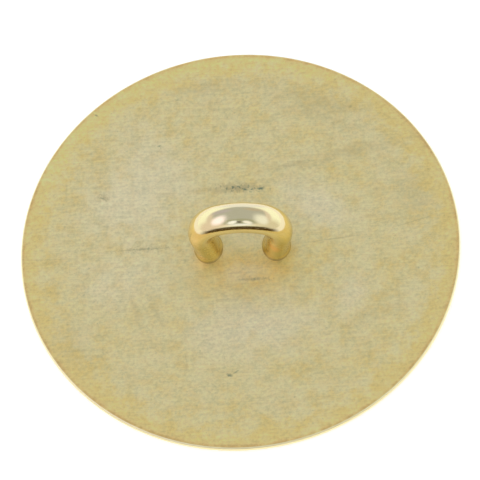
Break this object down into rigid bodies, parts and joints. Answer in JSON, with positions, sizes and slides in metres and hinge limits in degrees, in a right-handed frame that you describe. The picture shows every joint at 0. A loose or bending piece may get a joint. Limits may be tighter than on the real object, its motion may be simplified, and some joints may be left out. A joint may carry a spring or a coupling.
{
  "type": "sew on button",
  "caption": "Flat round metal button with a soldered wire loop shank on its back for sewing it on.",
  "frame": {"origin": "centre of the disc's front face, the face that shows on the garment", "axes": "+Z from the front face to the shank; +X in the plane of the shank loop; thread passes through the loop along Y"},
  "size_m": [0.035, 0.035, 0.0067],
  "materials": {
    "satin_gold_plate": "pale gold plate over brushed brass sheet, satin, lightly stained",
    "polished_gold_plate": "pale gold plate over polished brass wire",
    "plated_solder": "satin, plated over with the rest"
  },
  "bodies": {
    "root": {"button_disc": "satin_gold_plate", "shank_loop": "polished_gold_plate", "solder_ring_right": "plated_solder", "solder_ring_left": "plated_solder"}
  },
  "joints": []
}
